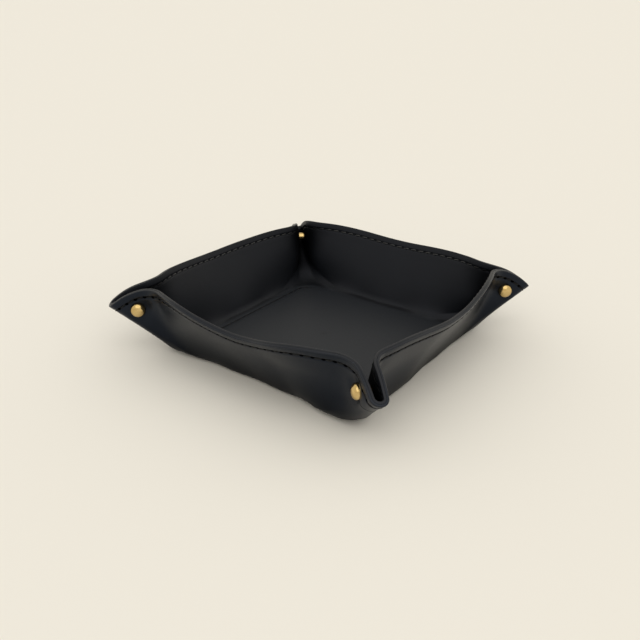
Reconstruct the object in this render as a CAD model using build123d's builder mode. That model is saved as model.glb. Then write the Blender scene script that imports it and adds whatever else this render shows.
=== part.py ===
# A square valet tray of two plies of leather, folded up from one flat blank. Each corner is
# pinched along its diagonal into an ear that points outwards, and a two-part brass rivet goes
# through both leaves of the ear. A stiffener board lies between the plies in the floor.
# Origin at the middle of the underside, +Z up, walls square to X and Y. Millimetres.

import os
from math import atan, atan2, cos, degrees, exp, radians, sin, sqrt, tan

from build123d import *

# Leather
ply = 1.2                     # thickness of one ply
glue_line = 0.05              # between the plies
floor_side = 110.0            # between the bend lines of two opposite walls
floor_corner = 20.0           # corner radius of the flat floor
corner_lead = 2.0             # how far the floor's corner is drawn out towards an ear
wall_bend = 5.0               # outer radius of the bend from floor to wall
ear_bend = 26.0               # outer radius of the bend from floor to an ear's fold
wall_lean = 72.6              # a wall's ends from the floor plane, degrees
fold_lean = 38.3              # an ear's fold from the floor plane, degrees
bow_height = 28.0             # height at which the bow of a wall is measured
wall_bow = 6.2                # how far the middle of a wall stands out of its ends there
bow_power = 1.35              # how the bow grows with height
turn_floor = 7.0              # outer radius where a wall turns into a leaf, near the floor
turn_rim = 13.0               # and at bow_height
splay_floor = 30.0            # a leaf from the diagonal plane near the floor, degrees
splay_rim = 2.5               # and at the rim
fold_half_width = 4.1         # half the outer width of an ear at its fold
ear_rise = 5.6                # height over which the floor's corner draws in to an ear
settle_height = 1.5           # height over which the plies' faces run parallel to the bend

# Rim
rim_peak = 37.5               # height of the rim where a wall turns into an ear
rim_middle = 34.2             # and at the middle of a wall
rim_run = 52.0                # from the middle of a wall to the end of its straight cut
ear_peak = 76.0               # where an ear's rim starts to fall, along the diagonal
ear_tip = 27.3                # height of the rim at the tip of an ear
ear_curve_shares = ((0.62, 0.0), (0.86, 0.42))  # control points of the falling rim

# Stiffener board
board_inset = 7.0             # from the bend lines of the walls to the board's edges
board_thick = 0.8
board_corner = 7.0
board_clearance = 0.1
pad_slope = 1.6               # width of the slope round the padded square of the lining

# Rivets
rivet_inset = 16.5            # from an ear's tip back along the diagonal
rivet_rise = 11.3             # of a rivet's middle above the fold under it
head_radius = 3.8
head_rim = 0.8                # height of a head's straight edge
head_dome = 2.7               # crown of a head above its edge
barrel_radius = 2.4
bore_radius = 1.5
bore_depth = 5.2
pin_radius = 1.48
pin_length = 5.0
seat_sink = 0.5               # how far a head is pressed into the leather
hole_clearance = 0.05
head_clearance = 0.1

overrun = 4.0                 # how far a cut runs past the leather
bend_steps = 4
wall_height_shares = (0.08, 0.2, 0.36, 0.56, 0.78, 1.0)

thickness = 2 * ply + glue_line
board_side = floor_side - 2 * board_inset
lean = radians(wall_lean)
fold = radians(fold_lean)
corners = {"front_right": -45, "back_right": 45, "back_left": 135, "front_left": 225}


def reach(z, t, radius, angle):
    """How far a bend, and the straight above it, have come out at height z and depth t."""
    bend_top = radius - (radius - t) * cos(angle)
    if z <= bend_top:
        return sqrt(max((radius - t) ** 2 - (radius - z) ** 2, 0))
    return (radius - t) * sin(angle) + (z - bend_top) / tan(angle)


def outer_height(z, t):
    """Height on the outer surface of the leather whose depth t is about at height z."""
    return z - t * (cos(lean) + (1 - cos(lean)) * exp((t - z) / settle_height))


def section(z, t):
    """Sizes of the closed outline at height z, on the surface t inside the outer one."""
    height = outer_height(z, t)
    ear_share = 1 - exp(-height / ear_rise)
    wall = floor_side / 2 + reach(z, t, wall_bend, lean)
    bow = wall_bow * ((height + ply / 10) / bow_height) ** bow_power
    splay = radians(splay_floor + (splay_rim - splay_floor) * ear_share)
    turn = turn_floor + (turn_rim - turn_floor) * height / bow_height + t
    corner = floor_side / 2 - floor_corner
    tip = corner * sqrt(2) + floor_corner + corner_lead + reach(z, t, ear_bend, fold)
    across = floor_corner * (1 - ear_share) + (fold_half_width - t) * ear_share
    along = floor_corner * (1 - ear_share) + (fold_half_width - t) * ear_share / sin(fold)
    return wall, bow, turn, splay, tip, across, along


out = Vector(1, 1).normalized()
side = Vector(-1, 1).normalized()


def corner_points(z, t):
    """Points of the outline from a wall's middle to an ear's fold, as (along, out)."""
    wall, bow, turn, splay, tip, across, along = section(z, t)
    bow_radius = ((floor_side / 2) ** 2 + bow**2) / (2 * bow)
    bow_centre = Vector(0, wall + bow - bow_radius)
    oval = out * (tip - along)
    param = atan2(along * sin(splay), across * cos(splay))
    leaf_end = oval + out * along * sin(param) + side * across * cos(param)
    heading = out * cos(splay) - side * sin(splay)
    normal = out * sin(splay) + side * cos(splay)
    base = leaf_end + normal * turn - bow_centre
    ahead = base.dot(heading)
    back = ahead - sqrt(ahead**2 - base.dot(base) + (bow_radius + turn) ** 2)
    turn_centre = bow_centre + base - heading * back
    wall_end = bow_centre + (turn_centre - bow_centre).normalized() * bow_radius
    leaf_start = turn_centre - normal * turn
    halfway = (wall_end + leaf_start) * (1 / 2) - turn_centre
    turn_middle = turn_centre + halfway.normalized() * turn
    return Vector(0, wall + bow), wall_end, turn_middle, leaf_start, leaf_end, oval, param


def outline(z, t):
    """The closed outline of the tray at height z, on the surface t inside the outer one."""
    middle, wall_end, turn_middle, leaf_start, leaf_end, oval, param = corner_points(z, t)
    across, along = section(z, t)[5:]
    arc = 90 - degrees(param)
    with BuildSketch(Plane.XY.offset(z)) as level:
        with BuildLine():
            for spin in (0, 90, 180, 270):
                start = Vector(-wall_end.X, -wall_end.Y).rotate(Axis.Z, spin)
                crown, end, turn, leaf, tip, centre = (
                    Vector(point.X, -point.Y).rotate(Axis.Z, spin)
                    for point in (middle, wall_end, turn_middle, leaf_start, leaf_end, oval)
                )
                far_end, far_turn, far_leaf, far_tip = (
                    Vector(point.Y, -point.X).rotate(Axis.Z, spin)
                    for point in (wall_end, turn_middle, leaf_start, leaf_end)
                )
                ThreePointArc(start, crown, end)
                ThreePointArc(end, turn, leaf)
                Line(leaf, tip)
                EllipticalCenterArc(
                    centre, along, across, -arc, arc_size=2 * arc, rotation=spin - 45
                )
                Line(far_tip, far_leaf)
                ThreePointArc(far_leaf, far_turn, far_end)
        make_face()
    return level.sketch


def form(t):
    """Outlines of the surface t inside the outer one, up the bend and then up the walls."""
    bend = [
        wall_bend - (wall_bend - t) * cos(lean * step / bend_steps)
        for step in range(bend_steps + 1)
    ]
    walls = [bend[-1] + (rim_peak - bend[-1]) * share for share in wall_height_shares]
    return [outline(z, t) for z in bend + walls]


def leaf_half_width(q, z):
    """Half the outer width of an ear at the distance q from the middle, at height z."""
    splay = section(z, 0)[3]
    leaf_end = corner_points(z, 0)[4]
    return leaf_end.dot(side) + (leaf_end.dot(out) - q) * tan(splay)


outer_form = form(0)
glued_form = form(ply)
lining_form = form(ply + glue_line)
inner_form = form(thickness)

# The edge of the blank: a straight cut along each wall, square to the leather at the middle
# of the wall, and a falling curve along each ear, rounded at the blank's corner.
bow_slope = wall_bow * bow_power * (rim_middle / bow_height) ** (bow_power - 1) / bow_height
middle_lean = atan(1 / (1 / tan(lean) + bow_slope))
middle_wall, middle_bow = section(rim_middle, 0)[:2]
middle_out = middle_wall + middle_bow
tip_out = section(ear_tip, 0)[4]
ear_run = tip_out - ear_peak
ear_fall = rim_peak - ear_tip
cut_height = ear_fall + overrun
with BuildPart() as rim_cut:
    for spin in (0, 90, 180, 270):
        wall_plane = Plane(
            origin=Vector(0, -middle_out, rim_middle).rotate(Axis.Z, spin),
            x_dir=Vector(1, 0, 0).rotate(Axis.Z, spin),
            z_dir=Vector(0, -sin(middle_lean), -cos(middle_lean)).rotate(Axis.Z, spin),
        )
        with BuildSketch(wall_plane):
            with Locations((0, cut_height / 2)):
                Rectangle(2 * rim_run, cut_height)
        extrude(amount=thickness + overrun, both=True)
    for angle in corners.values():
        ear_plane = Plane(
            origin=(0, 0, 0),
            x_dir=Vector(1, 0, 0).rotate(Axis.Z, angle),
            z_dir=Vector(0, -1, 0).rotate(Axis.Z, angle),
        )
        with BuildSketch(ear_plane):
            with BuildLine():
                fall = Bezier(
                    (ear_peak, rim_peak),
                    *[
                        (ear_peak + ear_run * across, rim_peak - ear_fall * down)
                        for across, down in ear_curve_shares
                    ],
                    (tip_out, ear_tip),
                )
                beyond = tip_out + ear_fall / tan(fold) + overrun
                above = rim_peak + overrun
                Polyline(
                    fall @ 1, (beyond, ear_tip), (beyond, above), (ear_peak, above), fall @ 0
                )
            make_face()
        extrude(amount=fold_half_width + turn_rim + overrun, both=True)

# Seats of the rivets, from the plane under each head outwards, and the holes through the ears.
rivet_reach = tip_out - rivet_inset
rivet_height = ear_tip - rivet_inset * tan(fold) + rivet_rise
seat = leaf_half_width(rivet_reach, rivet_height) - seat_sink
rivet_axes = {}
for name, angle in corners.items():
    rivet_axes[name] = Plane(
        origin=Vector(rivet_reach, 0, rivet_height).rotate(Axis.Z, angle),
        x_dir=Vector(1, 0, 0).rotate(Axis.Z, angle),
        z_dir=Vector(0, 1, 0).rotate(Axis.Z, angle),
    )
with BuildPart() as rivet_cut:
    for axis in rivet_axes.values():
        with BuildSketch(axis):
            Circle(barrel_radius + hole_clearance)
        extrude(amount=seat + overrun, both=True)
        for start, depth in ((seat, overrun), (-seat, -overrun)):
            with BuildSketch(axis.offset(start)):
                Circle(head_radius + head_clearance)
            extrude(amount=depth)

with BuildPart() as outer_leather:
    loft(outer_form)
    split(bisect_by=Plane.XY, keep=Keep.TOP)
    loft(glued_form, mode=Mode.SUBTRACT)
    add(rim_cut.part, mode=Mode.SUBTRACT)
    add(rivet_cut.part, mode=Mode.SUBTRACT)

# The lining rises over the board, which leaves a padded square on the floor.
with BuildPart() as lining_leather:
    loft(lining_form)
    loft(inner_form, mode=Mode.SUBTRACT)
    with BuildSketch(Plane.XY.offset(thickness)):
        RectangleRounded(
            board_side + 2 * pad_slope, board_side + 2 * pad_slope, board_corner + pad_slope
        )
    extrude(amount=board_thick, taper=degrees(atan(pad_slope / board_thick)))
    with BuildSketch(Plane.XY.offset(ply)):
        RectangleRounded(
            board_side + 2 * board_clearance,
            board_side + 2 * board_clearance,
            board_corner + board_clearance,
        )
    extrude(amount=board_thick + glue_line, mode=Mode.SUBTRACT)
    add(rim_cut.part, mode=Mode.SUBTRACT)
    add(rivet_cut.part, mode=Mode.SUBTRACT)

with BuildPart() as floor_stiffener:
    with BuildSketch(Plane.XY.offset(ply)):
        RectangleRounded(board_side, board_side, board_corner)
    extrude(amount=board_thick)

pieces = {
    "outer_leather": outer_leather,
    "lining_leather": lining_leather,
    "floor_stiffener": floor_stiffener,
}

# Each rivet is a head with a hollow barrel, and a second head with a pin that fits its bore.
# Their profiles are drawn beside the axis, from one seat to the other, and revolved.
for name, axis in rivet_axes.items():
    line = Axis(axis.origin, axis.z_dir)
    with BuildPart() as rivet_post:
        with BuildSketch(Plane(origin=axis.origin, x_dir=axis.x_dir, z_dir=-axis.y_dir)):
            with BuildLine():
                dome = EllipticalCenterArc(
                    (0, -seat - head_rim), head_radius, head_dome, -90, arc_size=90
                )
                Polyline(
                    dome @ 1,
                    (head_radius, -seat),
                    (barrel_radius, -seat),
                    (barrel_radius, seat),
                    (bore_radius, seat),
                    (bore_radius, seat - bore_depth),
                    (0, seat - bore_depth),
                    dome @ 0,
                )
            make_face()
        revolve(axis=line)
    with BuildPart() as rivet_cap:
        with BuildSketch(Plane(origin=axis.origin, x_dir=axis.x_dir, z_dir=axis.y_dir)):
            with BuildLine():
                dome = EllipticalCenterArc(
                    (0, -seat - head_rim), head_radius, head_dome, -90, arc_size=90
                )
                Polyline(
                    dome @ 1,
                    (head_radius, -seat),
                    (pin_radius, -seat),
                    (pin_radius, pin_length - seat),
                    (0, pin_length - seat),
                    dome @ 0,
                )
            make_face()
        revolve(axis=line)
    pieces[f"rivet_post_{name}"] = rivet_post
    pieces[f"rivet_cap_{name}"] = rivet_cap

os.makedirs("parts", exist_ok=True)
for name, piece in pieces.items():
    piece.part.label = name
    export_step(piece.part, f"parts/{name}.step")
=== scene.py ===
# A square valet tray of black leather: two plies folded up from one blank, sewn round the rim
# and round a stiffener in the floor, with the corners pinched into ears by brass rivets.

from math import atan2, cos, exp, pi, radians, sin, sqrt, tan

import bpy
import numpy as np
from mathutils import Matrix, Vector


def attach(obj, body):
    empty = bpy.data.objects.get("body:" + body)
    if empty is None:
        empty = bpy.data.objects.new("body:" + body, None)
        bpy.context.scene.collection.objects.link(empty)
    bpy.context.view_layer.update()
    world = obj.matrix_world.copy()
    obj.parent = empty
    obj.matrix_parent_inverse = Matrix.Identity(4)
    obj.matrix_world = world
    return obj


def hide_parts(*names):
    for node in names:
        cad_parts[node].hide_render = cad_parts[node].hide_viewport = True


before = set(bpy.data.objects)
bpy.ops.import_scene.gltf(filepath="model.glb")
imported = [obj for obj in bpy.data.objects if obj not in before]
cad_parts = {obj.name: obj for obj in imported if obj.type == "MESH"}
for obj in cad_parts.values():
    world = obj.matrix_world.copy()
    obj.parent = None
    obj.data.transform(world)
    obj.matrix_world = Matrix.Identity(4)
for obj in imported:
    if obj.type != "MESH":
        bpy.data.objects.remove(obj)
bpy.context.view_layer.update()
scene = bpy.context.scene
scene.view_settings.view_transform = "Standard"
mm = 0.001


# Table top and studio. The tray stands on a plain cream surface that runs out of the picture on
# every side, under an even pale dome and a weak, wide sun from high behind the camera. The
# camera looks at the front ear from a little above the rim, with a normal lens.

cream, dome_light = (0.863, 0.812, 0.705, 1.0), (0.85, 0.85, 0.85, 1)
table_side, table_drop = 60.0, 0.03 * mm
sun_energy, sun_spread, sun_from = 0.6, radians(60), Vector((0.45, -0.5, 1.0))
camera_azimuth, camera_elevation, camera_roll = radians(35.08), radians(25.49), radians(1.04)
camera_distance = 409.8 * mm
aim_right, aim_up = -3.42 * mm, 10.44 * mm
sensor_width, lens_over_sensor = 36, 744.6 / 640


class Socket:
    """One output of a shader tree, with sums that add their Math nodes."""

    def __init__(self, tree, out):
        self.tree, self.out = tree, out

    def _math(self, operation, *values):
        return self.tree.node("ShaderNodeMath", {"operation": operation}, *values)

    def __add__(self, other):
        return self._math("ADD", self, other)

    __radd__ = __add__

    def __mul__(self, other):
        return self._math("MULTIPLY", self, other)

    __rmul__ = __mul__

    def __sub__(self, other):
        return self._math("SUBTRACT", self, other)

    def __rsub__(self, other):
        return self._math("SUBTRACT", other, self)

    def over(self, low, high):
        """0 below low, 1 above high and smooth between."""
        ramp = {"interpolation_type": "SMOOTHSTEP"}
        return self.tree.node("ShaderNodeMapRange", ramp, self, low, high)

    def absolute(self):
        return self._math("ABSOLUTE", self)

    def fraction(self):
        return self._math("FRACT", self)

    def highest(self, other):
        return self._math("MAXIMUM", self, other)

    def part(self, axis):
        """One coordinate of a place, by its number."""
        return self.tree.node("ShaderNodeSeparateXYZ", {}, self, output=axis)


class Finish:
    """The shader tree of a material or a world, and the one method that adds any node to it."""

    def __init__(self, owner):
        owner.use_nodes = True
        self.owner, self.tree = owner, owner.node_tree
        self.tree.nodes.clear()

    def node(self, kind, settings, *inputs, output=0, **named):
        node = self.tree.nodes.new(kind)
        for key, value in settings.items():
            setattr(node, key, value)
        for place, value in [*enumerate(inputs), *named.items()]:
            socket = node.inputs[place.replace("_", " ") if isinstance(place, str) else place]
            if isinstance(value, Socket):
                self.tree.links.new(value.out, socket)
            elif value is not None:
                socket.default_value = value
        return Socket(self, node.outputs[output]) if node.outputs else None

    def mix(self, factor, first, second):
        """One colour over another. A Mix node takes them after five sockets of other kinds."""
        other_kinds = [None] * 5
        return self.node("ShaderNodeMix", {"data_type": "RGBA"}, factor, *other_kinds,
                         first, second, output=2)

    def principled(self, **named):
        return self.node("ShaderNodeBsdfPrincipled", {}, **named)

    def surface(self, shader, kind="Material"):
        self.node("ShaderNodeOutput" + kind, {}, shader)
        return self.owner


def finish(name):
    return Finish(bpy.data.materials.new(name))


def select_only(piece):
    bpy.ops.object.select_all(action="DESELECT")
    piece.select_set(True)
    bpy.context.view_layer.objects.active = piece


# The frame leaves all its nodes selected, so all but one are let go first.
select_only(next(iter(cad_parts.values())))
bpy.ops.mesh.primitive_plane_add(size=table_side, location=(0, 0, -table_drop))
table = bpy.context.object
table.name = "table_top"
paint = finish("cream_table")
table.data.materials.append(paint.surface(paint.principled(
    Base_Color=cream, Roughness=0.85, Specular_IOR_Level=0.1)))

back = Vector((sin(camera_azimuth) * cos(camera_elevation),
               -cos(camera_azimuth) * cos(camera_elevation), sin(camera_elevation)))
level = Vector((cos(camera_azimuth), sin(camera_azimuth), 0))
upward = back.cross(level)
right = level * cos(camera_roll) + upward * sin(camera_roll)
up = upward * cos(camera_roll) - level * sin(camera_roll)
eye = right * aim_right + up * aim_up + back * camera_distance
camera = bpy.data.objects.new("camera", bpy.data.cameras.new("camera"))
camera.data.sensor_width = sensor_width
camera.data.lens = sensor_width * lens_over_sensor
camera.matrix_world = Matrix.Translation(eye) @ Matrix((right, up, back)).transposed().to_4x4()
scene.collection.objects.link(camera)
scene.camera = camera

sun = bpy.data.objects.new("sky_light", bpy.data.lights.new("sky_light", "SUN"))
sun.data.energy, sun.data.angle = sun_energy, sun_spread
sun.matrix_world = sun_from.to_track_quat("Z", "Y").to_matrix().to_4x4()
scene.collection.objects.link(sun)
scene.world = bpy.data.worlds.new("studio")
dome = Finish(scene.world)
rays = [dome.node("ShaderNodeLightPath", {}, output=f"Is {kind} Ray")
        for kind in ("Camera", "Glossy", "Transmission")]
seen = rays[0].highest(rays[1]).highest(rays[2])
dome.surface(dome.node("ShaderNodeBackground", {}, dome.mix(seen, dome_light, cream)), "World")


# Outer leather. One square blank of smooth black hide, about 1.2 mm thick, bent up along four
# lines and pinched along the diagonals. Its form at any height is a closed outline: a bowed
# wall, the turn into an ear, the straight leaf of the ear and the round fold at its tip.

ply, glue_line = 1.2, 0.05
thickness = 2 * ply + glue_line
floor_side, floor_corner, corner_lead = 110.0, 20.0, 3.0
wall_bend, ear_bend = 5.0, 22.3
wall_lean, fold_lean = radians(72.6), radians(38.3)
bow_height, bow_power, least_height = 28.0, 1.35, 0.1
turn_floor, turn_rim = 14.0, 13.0
splay_floor, splay_rim = radians(30.0), radians(2.5)
fold_half_width, ear_rise = 4.1, 5.6
hollow_fill, hollow_heights = 0.8, (3, 16)
ear_peak, ear_tip, ear_power = 80.0, 26.4, 2.8
wall_columns, turn_columns, leaf_columns, tip_columns = 26, 12, 16, 9

# In a quarter of the plan, out runs along the diagonal to an ear and side runs across it.
out = np.array([1.0, 1.0]) / sqrt(2)
side = np.array([-1.0, 1.0]) / sqrt(2)

# Folded by hand, no two walls stand quite alike. From the front wall anticlockwise: the bow of
# the wall, its rim at the middle and at both ends, and how far from the middle the rim levels out.
hand_folded = (
    (7.0, 32.2, (37.8, 38.2), 43.0),
    (5.7, 35.9, (38.3, 39.2), 43.0),
    (6.6, 34.8, (38.1, 38.2), 66.0),
    (7.5, 34.0, (36.0, 38.4), 66.0),
)
ear_angles = (-45, 45, 135, 225)
ear_swings = (0.148, -0.057, 0.045, -0.053)


def reach(z, radius, angle):
    """How far a bend, and the straight above it, have come out at height z."""
    top = radius - radius * cos(angle)
    if z <= top:
        return sqrt(max(radius**2 - (radius - z) ** 2, 0))
    return radius * sin(angle) + (z - top) / tan(angle)


def between(value, low, high):
    """0 below low, 1 above high and smooth between."""
    share = np.clip((value - low) / (high - low), 0, 1)
    return share**2 * (3 - 2 * share)


def fill_hollow(points, share):
    """An outline moved by a share of the way to the straight lines over its hollow."""
    kept = [0]
    for i in range(1, len(points)):
        while len(kept) > 1:
            first, second = points[kept[-1]] - points[kept[-2]], points[i] - points[kept[-1]]
            if first[0] * second[1] - first[1] * second[0] <= 0:
                break
            kept.pop()
        kept.append(i)
    run = np.append(0, np.cumsum(np.linalg.norm(np.diff(points, axis=0), axis=1)))
    bridged = [np.interp(run, run[kept], points[kept, k]) for k in range(2)]
    return points + share * (np.stack(bridged, 1) - points)


def half_corner(z, wall_bow):
    """Points of the outline from a wall's middle to an ear's fold, as (along, out)."""
    share = 1 - exp(-z / ear_rise)
    wall = floor_side / 2 + reach(z, wall_bend, wall_lean)
    bow = wall_bow * (max(z, least_height) / bow_height) ** bow_power
    splay = splay_floor + (splay_rim - splay_floor) * share
    turn = turn_floor + (turn_rim - turn_floor) * z / bow_height
    corner = floor_side / 2 - floor_corner
    tip = corner * sqrt(2) + floor_corner + corner_lead + reach(z, ear_bend, fold_lean)
    across = floor_corner * (1 - share) + fold_half_width * share
    along = floor_corner * (1 - share) + fold_half_width * share / sin(fold_lean)
    bow_radius = ((floor_side / 2) ** 2 + bow**2) / (2 * bow)
    bow_centre = np.array([0, wall + bow - bow_radius])
    oval = out * (tip - along)
    start = atan2(along * sin(splay), across * cos(splay))
    leaf_end = oval + out * along * sin(start) + side * across * cos(start)
    heading = out * cos(splay) - side * sin(splay)
    normal = out * sin(splay) + side * cos(splay)
    base = leaf_end + normal * turn - bow_centre
    ahead = base @ heading
    centre = bow_centre + base - heading * (
        ahead - sqrt(ahead**2 - base @ base + (bow_radius + turn) ** 2))
    leaf_start = centre - normal * turn
    toward = (centre - bow_centre) / np.linalg.norm(centre - bow_centre)
    bow_angle = np.linspace(0, atan2(toward[0], toward[1]), wall_columns)[:, None]
    wall_points = bow_centre + bow_radius * np.hstack([np.sin(bow_angle), np.cos(bow_angle)])
    first, last = atan2(-toward[1], -toward[0]), atan2(-normal[1], -normal[0])
    turn_angle = np.linspace(first, last, turn_columns + 1)[1:, None]
    turn_points = centre + turn * np.hstack([np.cos(turn_angle), np.sin(turn_angle)])
    leaf_points = leaf_start + np.linspace(0, 1, leaf_columns + 1)[1:, None] * (
        leaf_end - leaf_start)
    oval_angle = np.linspace(start, pi / 2, tip_columns + 1)[1:, None]
    tip_points = oval + out * along * np.sin(oval_angle) + side * across * np.cos(oval_angle)
    outline = np.vstack([wall_points, turn_points, leaf_points, tip_points])
    return fill_hollow(outline, hollow_fill * (1 - between(z, *hollow_heights)))


def rim_height(along, across, middle, peak, level_from):
    """Height of the rim over a point of the outline."""
    wall = middle + (peak - middle) * between(along, 0, level_from)
    corner = (floor_side / 2 - floor_corner) * sqrt(2) + floor_corner + corner_lead
    tip = corner + reach(ear_tip, ear_bend, fold_lean)
    past_peak = np.clip(((along + across) / sqrt(2) - ear_peak) / (tip - ear_peak), 0, 1)
    return wall - (peak - ear_tip) * past_peak**ear_power


# The outline is worked out at these heights. The mesh's rows then run at set distances below
# the rim, close together at its rounded edge and about the groove of the stitches.
bend_steps, wall_steps, wall_top = 24, 100, 42
bend_heights = wall_bend * (1 - np.cos(np.linspace(0, wall_lean, bend_steps)))
heights = np.append(bend_heights, np.linspace(bend_heights[-1], wall_top, wall_steps)[1:])
rim_rows = np.concatenate([
    [0, 0.12, 0.3, 0.5, 0.62, 0.74, 0.95], np.arange(1.4, 3.0, 0.45),
    [3.1, 3.35, 3.6, 3.8, 4.0, 4.2, 4.4, 4.65, 4.9], [5.3, 5.8, 6.4]])
wall_rows = 34
settling_turns = 12


def half_wall(bow, middle, peak, level_from):
    """Half a wall and its leaf, in rows at set distances below the rim along the leather."""
    half = np.array([half_corner(z, bow) for z in heights])
    rim_z = np.full(half.shape[1], middle)
    for turn in range(settling_turns):
        along = np.array([np.interp(z, heights, half[:, i, 0]) for i, z in enumerate(rim_z)])
        across = np.array([np.interp(z, heights, half[:, i, 1]) for i, z in enumerate(rim_z)])
        rim_z = (rim_z + rim_height(along, across, middle, peak, level_from)) / 2
    lines = []
    for i, top in enumerate(rim_z):
        z = np.append(heights[heights < top - 0.01], top)[::-1]
        line = np.stack([np.interp(z, heights, half[:, i, 0]),
                         np.interp(z, heights, half[:, i, 1]), z], 1)
        run = np.append(0, np.cumsum(np.linalg.norm(np.diff(line, axis=0), axis=1)))
        marks = np.append(rim_rows, np.linspace(rim_rows[-1], run[-1], wall_rows + 1)[1:])
        points = [np.interp(marks, run, line[:, k]) for k in range(3)]
        lines.append(np.stack([*points, marks], 1))
    return np.array(lines).transpose(1, 0, 2)


rounds = []
for wall in range(4):
    bow, middle, (_, far_peak), level_from = hand_folded[wall]
    next_bow, next_middle, (near_peak, _), next_level_from = hand_folded[(wall + 1) % 4]
    ahead = half_wall(bow, middle, far_peak, level_from)
    after = half_wall(next_bow, next_middle, near_peak, next_level_from)[:, ::-1]
    x = np.concatenate([ahead[..., 0], after[:, 1:-1, 1]], 1)
    y = np.concatenate([-ahead[..., 1], -after[:, 1:-1, 0]], 1)
    rest = np.concatenate([ahead[..., 2:], after[:, 1:-1, 2:]], 1)
    for quarter_turn in range(wall):
        x, y = -y, x
    rounds.append(np.concatenate([x[..., None], y[..., None], rest], 2))
walls = np.concatenate(rounds, 1)
walls, below_rim = walls[..., :3], walls[..., 3]
columns = walls.shape[1]

# The walls sweep into the ears without an edge, and the fold of an ear keeps its full nose: away
# from the rim, the nose and the flat of the walls, each point eases toward its neighbours.
easing, easing_steps = 0.5, 120
ease_out, ease_aside, ease_below = (52, 64), (5, 13), (9, 19)
far = (np.abs(walls[..., 0]) + np.abs(walls[..., 1])) / sqrt(2)
aside = np.abs(np.abs(walls[..., 0]) - np.abs(walls[..., 1])) / sqrt(2)
ease = easing * between(far, *ease_out) * between(aside, *ease_aside)
ease *= between(below_rim, *ease_below)
ease[-1] = 0
for step in range(easing_steps):
    around_mean = (np.roll(walls, 1, 1) + np.roll(walls, -1, 1)) / 2
    down_mean = walls.copy()
    down_mean[1:-1] = (walls[:-2] + walls[2:]) / 2
    walls = walls + ease[..., None] * ((around_mean + down_mean) / 2 - walls)

# The front corner of the floor stands a little further out than the others.
corner_out, corner_run, corner_heights = 2.2, (30, 75), (6.0, 24.0)
far = (walls[..., 0] - walls[..., 1]) / sqrt(2)
shift = corner_out * between(far, *corner_run) * (1 - between(walls[..., 2], *corner_heights))
walls[..., 0] += shift / sqrt(2)
walls[..., 1] -= shift / sqrt(2)

# Each ear leans a little to one side about its rivet, and its leaves are drawn flat under the
# heads.
rivet_reach, rivet_height, rivet_seat = 98.6, 25.6, 4.15
swing_run, seat_edge = (60, 82), (4.0, 8.5)
for ear_angle, swing in zip(ear_angles, ear_swings):
    ahead = np.array([cos(radians(ear_angle)), sin(radians(ear_angle))])
    left = np.array([-ahead[1], ahead[0]])
    far = walls[..., :2] @ ahead
    lateral = walls[..., :2] @ left
    shift = swing * between(far, *swing_run) * (far - rivet_reach)
    from_rivet = np.hypot(far - rivet_reach, walls[..., 2] - rivet_height)
    pull = 1 - between(from_rivet, *seat_edge)
    pull[far < 0] = 0
    shift += pull * (np.sign(lateral) * rivet_seat - lateral - shift)
    walls[..., :2] += shift[..., None] * left

# The floor's rows, from the bend lines in to the middle, pass over the sewn square, which sits a
# little toward the left ear. The innermost rows are round.
sewn_half, sewn_corner, least_corner = 50.0, 7.0, 0.08
sewn_shift = np.array([-1.2, -1.0])
floor_marks = np.array([
    -2.3, -1.6, -1.0, -0.6, -0.35, -0.15, 0.0, 0.15, 0.3, 0.45, 0.6, 0.75, 0.9, 1.1, 1.4, 1.7,
    2.0, 2.3, 2.6, 2.9, 3.2, 3.6, 4.2, 7.0, 12.0,
    18.0, 25.0, 32.0, 40.0, 46.0])
round_from = 40


def square_reach(angle, half_side, corner):
    """How far a rounded square reaches from its middle in each direction."""
    x, y = np.abs(np.cos(angle)), np.abs(np.sin(angle))
    big, small = np.maximum(x, y), np.minimum(x, y)
    straight = half_side / big
    inside = half_side - corner
    dot = inside * (big + small)
    curved = dot + np.sqrt(np.maximum(dot**2 - 2 * inside**2 + corner**2, 0))
    return np.where(straight * small > inside, curved, straight)


foot = walls[-1]
angle = np.arctan2(foot[:, 1] - sewn_shift[1], foot[:, 0] - sewn_shift[0])
floor = []
for mark in floor_marks:
    size = sewn_half - mark
    corner = max(sewn_corner - mark, size * least_corner) if mark < round_from else size
    far = square_reach(angle, size, corner)
    floor.append(np.stack([sewn_shift[0] + far * np.cos(angle),
                           sewn_shift[1] + far * np.sin(angle), 0 * far], 1))
floor = np.array(floor)
skin = np.concatenate([walls, floor])

# Each sheet's UV map holds the place along the stitches, counted in stitches, and the depth
# below the rim in mm. The hidden faces and the floor have depths that no wall reaches.
hidden_depth, in_floor = 60.0, 100.0
floor_depth = np.repeat(in_floor + floor_marks[:, None], columns, 1)
below_rim = np.concatenate([below_rim, floor_depth])

foot_rows, foot_steps = 9, 10
down = np.gradient(skin, axis=0)
around = (np.roll(skin, -1, 1) - np.roll(skin, 1, 1)) / 2
normals = np.cross(around, -down)
normals /= np.linalg.norm(normals, axis=2)[..., None]
normals[len(walls):] = (0, 0, -1)
low = np.arange(len(walls) - foot_rows, len(walls))
for step in range(foot_steps):
    normals[low] = (normals[low - 1] + 2 * normals[low] + normals[low + 1]) / 4
normals[low] /= np.linalg.norm(normals[low], axis=2)[..., None]

stitch_depth, stitch_pitch = 4.0, 5.0
sewing_row = int(np.where(np.isclose(rim_rows, stitch_depth))[0][0])
sewing_line = skin[sewing_row]
steps = np.linalg.norm(np.roll(sewing_line, -1, 0) - sewing_line, axis=1)
stitch_count = round(steps.sum() / stitch_pitch)
stitch_place = np.append(0, np.cumsum(steps)) * stitch_count / steps.sum()

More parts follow.
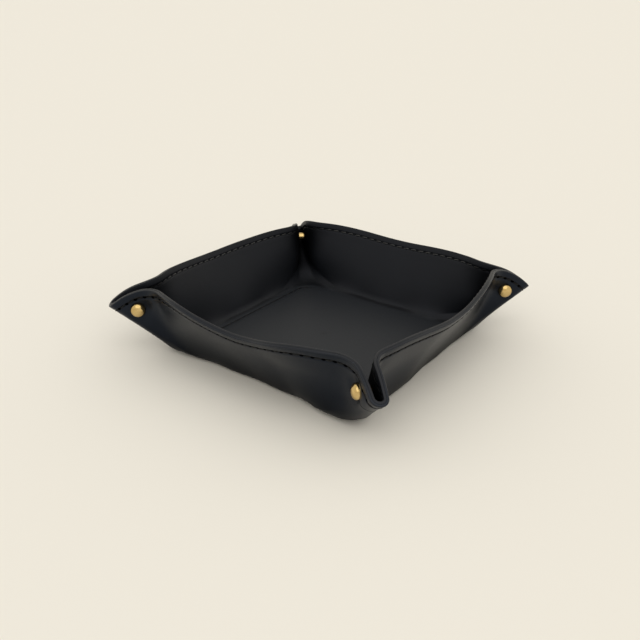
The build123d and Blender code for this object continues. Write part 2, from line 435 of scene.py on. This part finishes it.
# The groove of the stitches, the creased line beside the edge, the rounded edge itself and the
# groove round the sewn square are pressed into both faces.
groove_depth, groove_width = 0.42, 0.62
crease_place, crease_depth, crease_width = 0.62, 0.1, 0.16
floor_groove_depth, floor_groove_width = 0.25, 0.4
edge_round = 0.4


def dip(distance, depth, width):
    return depth * np.exp(-((distance / width) ** 2))


floor_dip = np.zeros(len(skin))
floor_dip[len(walls):] = dip(floor_marks, floor_groove_depth, floor_groove_width)
rim_dip = np.zeros(len(skin))
rim_dip[:len(rim_rows)] = dip(rim_rows - stitch_depth, groove_depth, groove_width)
rim_dip[:len(rim_rows)] += dip(rim_rows - crease_place, crease_depth, crease_width)
rim_dip[:len(rim_rows)] += edge_round * np.clip(1 - rim_rows / edge_round, 0, 1) ** 2


def build_sheet(name, face, back_face, edge):
    """A closed mesh from a shown face, its rim edge and a hidden face, rows from rim to middle."""
    rings = [*face[::-1], *edge, *back_face]
    middle_face, middle_back = face[-1].mean(0), back_face[-1].mean(0)
    points = np.concatenate([np.concatenate(rings), [middle_face, middle_back]]) * mm
    faces = []
    count = len(rings)
    for row in range(count - 1):
        near = row * columns + np.arange(columns)
        following = row * columns + (np.arange(columns) + 1) % columns
        faces += np.stack([near, following, following + columns, near + columns], 1).tolist()
    last = (count - 1) * columns
    for i in range(columns):
        following = (i + 1) % columns
        faces.append([count * columns, following, i])
        faces.append([count * columns + 1, last + i, last + following])
    mesh = bpy.data.meshes.new(name)
    mesh.from_pydata(points.tolist(), [], faces)
    mesh.update()
    piece = bpy.data.objects.new(name, mesh)
    scene.collection.objects.link(piece)
    hidden = np.full((len(back_face), columns), hidden_depth)
    depth = np.concatenate([below_rim[::-1], np.zeros((len(edge), columns)), hidden])
    layer = mesh.uv_layers.new(name="rim")
    values = np.zeros((len(mesh.loops), 2))
    start = 0
    for polygon in mesh.polygons:
        vertices = polygon.vertices
        spots = [v % columns for v in vertices]
        wraps = len(vertices) == 4 and max(spots) - min(spots) > 1
        for k, v in enumerate(vertices):
            if v >= count * columns:
                values[start + k] = (0, hidden_depth)
                continue
            spot = columns if wraps and v % columns == 0 else v % columns
            values[start + k] = (stitch_place[spot], depth[v // columns, v % columns])
        start += len(vertices)
    layer.data.foreach_set("uv", values.ravel())
    return piece


# A ply's hidden face keeps every fourth row of the wall, but every row of the floor. Its cut
# edge steps in to the glue line; each step has its distance from that line and its drop.
thin = [*range(0, len(rim_rows), 4), *range(len(rim_rows) + 2, len(walls) - 1, 4),
        *range(len(walls) - 1, len(skin))]
edge_steps = ((0.45, 0.0), (0.2, 0.02), (0.06, 0.08))

outer_face = skin - normals * (rim_dip + floor_dip)[:, None, None]
outer_back = skin - normals * ply
rim_down = skin[2] - skin[0]
rim_down /= np.linalg.norm(rim_down, axis=1)[:, None]
outer_edge = [skin[0] - normals[0] * (ply - inset) + rim_down * drop for inset, drop in edge_steps]
outer_leather = build_sheet("outer_ply", outer_face, outer_back[thin], outer_edge)


# Leather finish, used by both plies. A smooth black face with a fine pore, faint cloudy tone and
# a soft shine, paler and smoother at the burnished edge. Needle holes, grooves, the crease below
# the front ear, the foot of the outer walls and the depths of the ears carry painted shade: there
# the leather is mixed toward a matt black. The floor is painted lighter than the walls, a painted
# light.

pore_scale, grain_scale, cloud_scale = 2600.0, 900.0, 45.0
floor_painted_light, edge_shade = (0.013, 0.0148, 0.0175, 1), (0.016, 0.0165, 0.018, 1)
cloud_dark, cloud_pale = 0.93, 1.07
edge_band, hole_band = (0.25, 0.45), (0.35, 0.7)
groove_band, floor_groove_band = (0.25, 0.75), (0.3, 0.9)

# How much painted shade each gets, as the share of matt black mixed in, 1 being all of it.
# Holes and grooves have one for each ply.
hole_painted_shade, groove_painted_shade, floor_groove_painted_shade = (0.4, 1.0), (0.3, 0.5), 0.6
# Painted shade at the foot of the outer walls, up to foot_top, and deep between the leaves of the
# ears.
foot_top, foot_painted_shade, ear_painted_shade = 0.026, 0.6, 0.75
ear_start, ear_deep = 0.112, 0.128

# The fold of the front ear lies an eighth of the way round, and its crease 11.5 mm below the rim.
front_fold, crease_below = float(stitch_place[columns // 8]), 11.5


# A matt black shader, mixed into the leather and the thread as painted shade.
def painted_shade_black(tree):
    return tree.principled(Base_Color=(0.001, 0.001, 0.001, 1), Roughness=0.9,
                           Specular_IOR_Level=0.0)


def in_ear(place):
    """1 deep between the leaves of an ear and 0 in the rest of the tray."""
    return (place.part(0).absolute() + place.part(1).absolute()).over(ear_start, ear_deep)


def leather(name, shade, shine, gloss, tint, outside):
    """The finish of a ply; outside is 1 for the outer one and 0 for the lining."""
    hide = finish(name)
    place = hide.node("ShaderNodeTexCoord", {}, output="Object")
    rim_map = hide.node("ShaderNodeUVMap", {"uv_map": "rim"})
    across, below = rim_map.part(0), rim_map.part(1)
    pores = hide.node("ShaderNodeTexVoronoi", {"feature": "F1"}, place, None, pore_scale)
    grain = hide.node("ShaderNodeTexNoise", {}, place, None, grain_scale, 4.0, 0.6)
    cloud = hide.node("ShaderNodeTexNoise", {}, place, None, cloud_scale, 3.0, 0.5)
    hole_u = ((across.fraction() - 0.5).absolute() - 0.5).absolute() * stitch_pitch
    hole_v = (below - stitch_depth).absolute()
    hole = 1 - (hole_u * hole_u * 0.5 + hole_v * hole_v).over(*hole_band)
    groove = 1 - hole_v.over(*groove_band)
    floor_groove = 1 - (below - in_floor).absolute().over(*floor_groove_band)
    edge = 1 - below.over(*edge_band)
    darker, paler = ([c * by for c in shade] for by in (cloud_dark, cloud_pale))
    tone = hide.mix(cloud.over(0.35, 0.7), (*darker, 1), (*paler, 1))
    # Painted light: the floor of each ply is made paler than its walls.
    tone = hide.mix(below.over(hidden_depth, in_floor - 4.0), tone, floor_painted_light)
    tone = hide.mix(edge, tone, edge_shade)
    # Painted shade: the needle holes, the stitch groove and the floor's groove go toward matt
    # black.
    unlit = (hole * hole_painted_shade[outside]).highest(groove * groove_painted_shade[outside])
    unlit = unlit.highest(floor_groove * floor_groove_painted_shade)
    dents = hole
    if outside:
        # The crease below the front ear's fold is a bump with a line of painted shade along it.
        crease = 1 - (below - crease_below).absolute().over(0.1, 0.45)
        crease = crease * (1 - (across - front_fold).absolute().over(1.2, 2.2))
        dents = hole + crease
        # Painted shade: the outer walls darken toward the table, below foot_top.
        foot = 1 - place.part(2).over(0.0, foot_top)
        unlit = unlit.highest(foot * foot_painted_shade).highest(crease)
    else:
        # Painted shade: deep between the leaves of the ears the lining goes toward matt black.
        unlit = unlit.highest(in_ear(place) * below.over(1.5, 5.0) * ear_painted_shade)
    height = pores * 0.35 + grain - dents * 4.0
    bump = hide.node("ShaderNodeBump", {}, Strength=0.2, Distance=0.00006, Height=height)
    rough = grain * 0.12 + (shine - 0.06) - edge * 0.04
    smooth_hide = hide.principled(Base_Color=tone, Roughness=rough, Normal=bump,
                                  Specular_IOR_Level=gloss, Specular_Tint=tint)
    return hide.surface(hide.node("ShaderNodeMixShader", {}, unlit, smooth_hide, painted_shade_black(hide)))


def finish_ply(piece, material, node):
    piece.data.materials.append(material)
    select_only(piece)
    bpy.ops.object.shade_smooth()
    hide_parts(node)
    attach(piece, "root")


outer_hide = leather("outer_hide", (0.0055, 0.0068, 0.0098), shine=0.3, gloss=0.23,
                     tint=(0.64, 0.76, 1.0, 1.0), outside=1)
finish_ply(outer_leather, outer_hide, "outer_leather")


# Stiffener board. A square of plain bonded fibre, 0.8 mm thick, that lies between the plies in
# the floor. It is the CAD's own solid and doesn't show.

board = finish("bonded_board")
fibre = board.node("ShaderNodeTexNoise", {}, None, None, 400.0, 4.0)
board_tone = board.mix(fibre, (0.13, 0.12, 0.11, 1), (0.2, 0.19, 0.17, 1))
board_material = board.surface(board.principled(Base_Color=board_tone, Roughness=0.8))
for material_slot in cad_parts["floor_stiffener"].material_slots:
    material_slot.material = board_material


# Lining. The same hide on the inside, glued and sewn to the outer ply. It rises over the
# stiffener board, so the floor shows a low padded square inside its stitches.

# The pad has the board's half side, and corners a little sharper than the board's 7 mm.
pad_half, pad_corner = 48.0, 6.0
pad_height, pad_clear, pad_rise = 0.83, 0.05, 0.7
pad = np.zeros(skin.shape[:2])
pad_edge = square_reach(np.arctan2(floor[..., 1], floor[..., 0]), pad_half, pad_corner)
outside_pad = np.hypot(floor[..., 0], floor[..., 1]) - pad_edge
pad[len(walls):] = pad_height * (1 - between(outside_pad, pad_clear, pad_clear + pad_rise))
dips = (rim_dip + floor_dip)[:, None]

lining_back = skin - normals * (ply + glue_line + pad)[..., None]
lining_face = skin - normals * (thickness + pad - dips)[..., None]
lining_edge = [skin[0] - normals[0] * (ply + glue_line + inset) + rim_down * drop
               for inset, drop in edge_steps]
lining = build_sheet("lining_ply", lining_face, lining_back[thin], lining_edge)
lining.data.flip_normals()
lining_hide = leather("lining_hide", (0.0045, 0.0052, 0.0066), shine=0.46, gloss=0.25,
                      tint=(0.78, 0.83, 1.0, 1.0), outside=0)
finish_ply(lining, lining_hide, "lining_leather")


# Thread. Waxed black thread in a saddle stitch of 5 mm, sunk in a shallow groove 4 mm in from
# the edge, and a second line of it round the stiffener in the floor.

thread_radius, thread_length = 0.4 * mm, 3.5 * mm
stitch_slant, stitch_reach = radians(6), 0.2
stitch_sides, end_drop, end_power = 8, 1.5, 4
sunk, sunk_below = 0.12, 0.1

# The stitches of the underside run this far above it, in their groove and clear of the table.
under_rise = 0.32


def stitch_model(length, radius):
    """One stitch along X, its ends turned down into the needle holes."""
    bpy.ops.object.select_all(action="DESELECT")
    bpy.ops.mesh.primitive_uv_sphere_add(segments=stitch_sides, ring_count=stitch_sides,
                                         radius=radius, rotation=(0, pi / 2, 0))
    stitch = bpy.context.object
    bpy.ops.object.transform_apply(location=True, rotation=True, scale=True)
    for vertex in stitch.data.vertices:
        x = vertex.co.x / radius
        vertex.co.x += np.sign(x) * (length / 2 - radius) if abs(x) > 0.01 else 0
        vertex.co.z -= radius * end_drop * (abs(vertex.co.x) * 2 / length) ** end_power
    return stitch


def sew(name, model, places):
    """A run of stitches joined into one piece; places are (middle, along, outward)."""
    shape = np.array([vertex.co[:] for vertex in model.data.vertices])
    polygons = [list(polygon.vertices) for polygon in model.data.polygons]
    points, faces = [], []
    for middle, ahead, outward in places:
        across = np.cross(outward, ahead)
        start = len(points) * len(shape)
        points.append(middle + shape @ np.array([ahead, across, outward]))
        faces += [[v + start for v in polygon] for polygon in polygons]
    mesh = bpy.data.meshes.new(name)
    mesh.from_pydata(np.concatenate(points).tolist(), [], faces)
    mesh.update()
    run = bpy.data.objects.new(name, mesh)
    scene.collection.objects.link(run)
    select_only(run)
    bpy.ops.object.shade_smooth()
    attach(run, "root")
    return run


def along_line(line, up_vectors, count, sink):
    """Places of count stitches along a closed line, the first half a pitch from its start."""
    closed = np.concatenate([line, line[:1]])
    ups = np.concatenate([up_vectors, up_vectors[:1]])
    run = np.append(0, np.cumsum(np.linalg.norm(np.diff(closed, axis=0), axis=1)))
    places = []
    for i in range(count):
        spots = run[-1] * ((i + 0.5 + np.array([-stitch_reach, 0, stitch_reach])) / count)
        before, middle, after = (
            np.array([np.interp(s % run[-1], run, closed[:, k]) for k in range(3)]) for s in spots)
        outward = np.array([np.interp(spots[1] % run[-1], run, ups[:, k]) for k in range(3)])
        ahead = after - before
        ahead /= np.linalg.norm(ahead)
        outward -= ahead * (outward @ ahead)
        outward /= np.linalg.norm(outward)
        ahead = ahead * cos(stitch_slant) + np.cross(outward, ahead) * sin(stitch_slant)
        places.append(((middle - outward * sink) * mm, ahead, outward))
    return places


model = stitch_model(thread_length, thread_radius)
rim_places = along_line(sewing_line, normals[sewing_row], stitch_count, sunk)
inside_line = sewing_line - normals[sewing_row] * thickness
rim_places += along_line(inside_line, -normals[sewing_row], stitch_count, sunk)
rim_thread = sew("rim_thread", model, rim_places)

floor_line = skin[len(walls) + int(np.where(floor_marks == 0)[0][0])]
floor_steps = np.linalg.norm(np.roll(floor_line, -1, 0) - floor_line, axis=1)
floor_count = round(floor_steps.sum() / stitch_pitch)
upwards = np.tile([0.0, 0.0, 1.0], (columns, 1))
floor_places = along_line(floor_line + (0, 0, thickness), upwards, floor_count, sunk)
floor_places += along_line(floor_line + (0, 0, under_rise), -upwards, floor_count, sunk_below)
floor_thread = sew("floor_thread", model, floor_places)
bpy.data.objects.remove(model)

# The thread on the outside of the rim and on the floor takes the second finish: duller, and darker
# as painted shade.
outside_faces = len(rim_thread.data.polygons) // 2
for polygon in rim_thread.data.polygons:
    polygon.material_index = 1 if polygon.index < outside_faces else 0
for polygon in floor_thread.data.polygons:
    polygon.material_index = 1

yarn = finish("waxed_thread")
yarn_place = yarn.node("ShaderNodeTexCoord", {}, output="Object")
twist = yarn.node("ShaderNodeTexNoise", {}, yarn_place, None, 2500.0, 2.0)
yarn_bump = yarn.node("ShaderNodeBump", {}, Strength=0.4, Distance=0.00008, Height=twist)
yarn_tone = yarn.mix(twist, (0.01, 0.01, 0.011, 1), (0.03, 0.03, 0.032, 1))
yarn_shader = yarn.principled(Base_Color=yarn_tone, Roughness=0.45, Normal=yarn_bump)
# Painted shade: deep in the ears the thread is mixed toward matt black.
yarn_material = yarn.surface(yarn.node(
    "ShaderNodeMixShader", {}, in_ear(yarn_place) * 0.9, yarn_shader, painted_shade_black(yarn)))
shaded_thread = finish("waxed_thread_shaded")
shaded_thread_place = shaded_thread.node("ShaderNodeTexCoord", {}, output="Object")
shaded_thread_twist = shaded_thread.node("ShaderNodeTexNoise", {}, shaded_thread_place, None, 2500.0, 2.0)
# A darker tone than the same thread inside: painted shade.
shaded_thread_tone = shaded_thread.mix(shaded_thread_twist, (0.002, 0.002, 0.0022, 1), (0.008, 0.008, 0.009, 1))
shaded_thread_material = shaded_thread.surface(shaded_thread.principled(
    Base_Color=shaded_thread_tone, Roughness=0.6, Specular_IOR_Level=0.2))
for run in (rim_thread, floor_thread):
    run.data.materials.append(yarn_material)
    run.data.materials.append(shaded_thread_material)


# Rivets. Two-part rivets of polished brass, a post on one leaf of each ear and a cap on the
# other, turned and set by hand, so their domes carry faint marks. They are the CAD's own solids.

brass_low, brass_high = (0.46, 0.31, 0.11, 1), (0.78, 0.59, 0.28, 1)
# The dark colour at the rims of the domes and the near black of the barrel in the front ear's gap
# are painted shade.
brass_rim_painted_shade, brass_gap_painted_shade = (0.13, 0.065, 0.015, 1), (0.012, 0.008, 0.003, 1)
brass = finish("polished_brass")
brass_place = brass.node("ShaderNodeTexCoord", {}, output="Object")
wear = brass.node("ShaderNodeTexNoise", {}, brass_place, None, 350.0, 2.0, 0.5)
# Painted shade: the colour darkens toward the rims of the domes as they turn from the view.
facing = brass.node("ShaderNodeLayerWeight", {}, 0.35, output=1)
brass_tone = brass.mix(wear, brass_low, brass_high)
brass_tone = brass.mix(facing.over(0.2, 0.75), brass_tone, brass_rim_painted_shade)

# The barrel in the gap of the front ear is painted as dark as the gap itself: painted shade.
brass_x, brass_y = brass_place.part(0), brass_place.part(1)
in_gap = 1 - (brass_x + brass_y).absolute().over(0.0026, 0.0034)
in_gap = in_gap * (brass_x - brass_y).over(0.05, 0.1)
brass_tone = brass.mix(in_gap, brass_tone, brass_gap_painted_shade)
brass_material = brass.surface(brass.principled(
    Base_Color=brass_tone, Metallic=1.0, Roughness=wear * 0.14 + 0.1))
for name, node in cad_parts.items():
    if name.startswith("rivet"):
        for material_slot in node.material_slots:
            material_slot.material = brass_material
